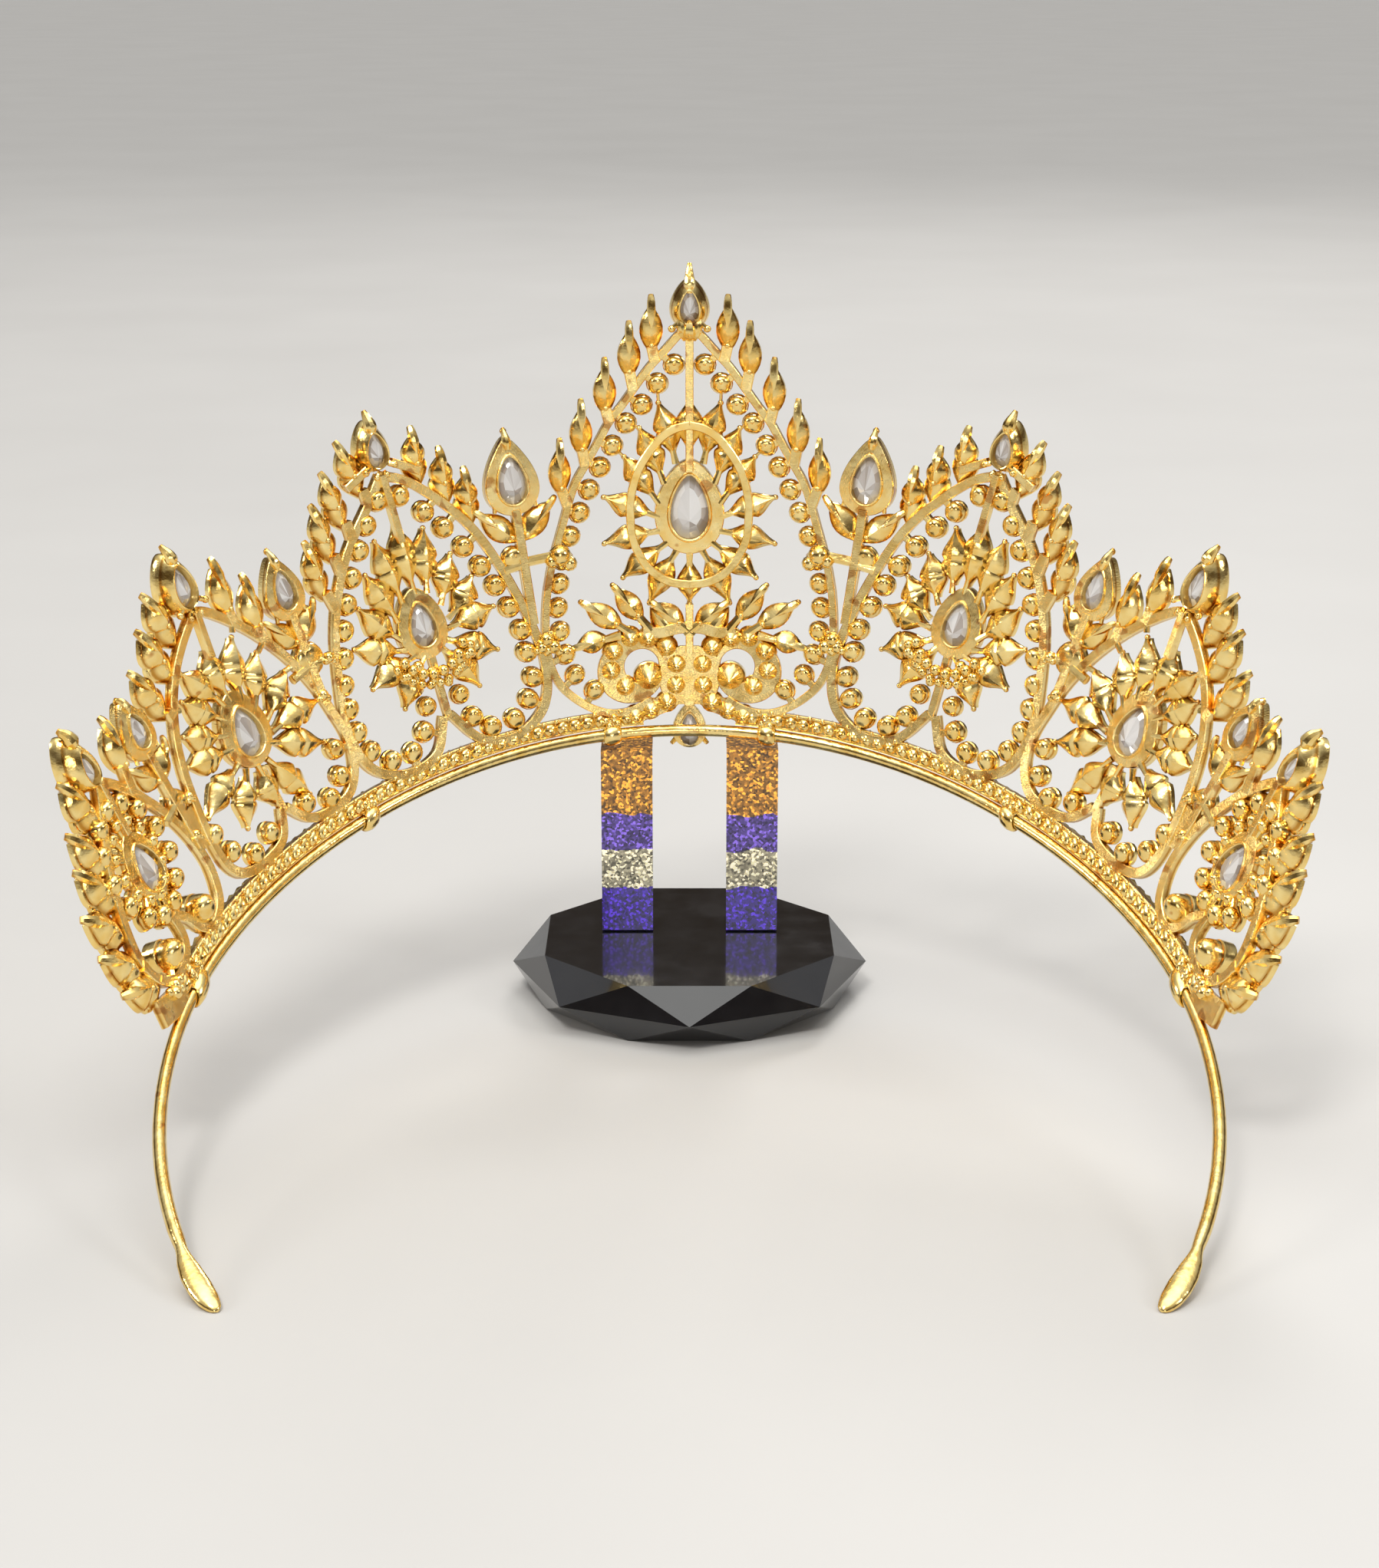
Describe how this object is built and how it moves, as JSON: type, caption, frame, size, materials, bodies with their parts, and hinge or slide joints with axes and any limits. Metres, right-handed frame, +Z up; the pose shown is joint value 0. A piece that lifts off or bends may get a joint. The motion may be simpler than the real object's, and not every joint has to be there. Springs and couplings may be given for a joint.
{
  "type": "pageant crown on display stand",
  "caption": "Gold filigree pageant crown of pointed arch panels with clear pear stones on a bent headband wire, resting on a faceted black base with two glitter resin posts.",
  "frame": {"origin": "on the surface it stands on, below the middle of the whole assembly", "axes": "+Z up, +Y towards the show side of the crown, -Y towards the wearer and the wire ends, +X to the right seen from the wearer side"},
  "size_m": [0.1822, 0.1478, 0.1217],
  "materials": {
    "polished_gold": "gold-plated castings, polished rims and brushed strips",
    "gold_wire": "gold-plated drawn wire, polished, with flattened ends",
    "crystal": "clear faceted pear crystals",
    "black_base": "glossy black faceted resin",
    "glitter_resin": "clear cast resin filled with bands of amber, violet, silver and blue glitter"
  },
  "bodies": {
    "root": {"crown_metal": "polished_gold", "headband_wire": "gold_wire", "stone_front_top": "crystal", "stone_front_medal": "crystal", "stone_front_drop": "crystal", "stone_middle_top_left": "crystal", "stone_middle_medal_left": "crystal", "stone_outer_top_left": "crystal", "stone_outer_medal_left": "crystal", "stone_end_top_left": "crystal", "stone_end_medal_left": "crystal", "stone_finial_front_left": "crystal", "stone_finial_middle_left": "crystal", "stone_finial_rear_left": "crystal", "stone_middle_top_right": "crystal", "stone_middle_medal_right": "crystal", "stone_outer_top_right": "crystal", "stone_outer_medal_right": "crystal", "stone_end_top_right": "crystal", "stone_end_medal_right": "crystal", "stone_finial_front_right": "crystal", "stone_finial_middle_right": "crystal", "stone_finial_rear_right": "crystal", "stand_base": "black_base", "stand_post_left": "glitter_resin", "stand_post_right": "glitter_resin"}
  },
  "joints": []
}
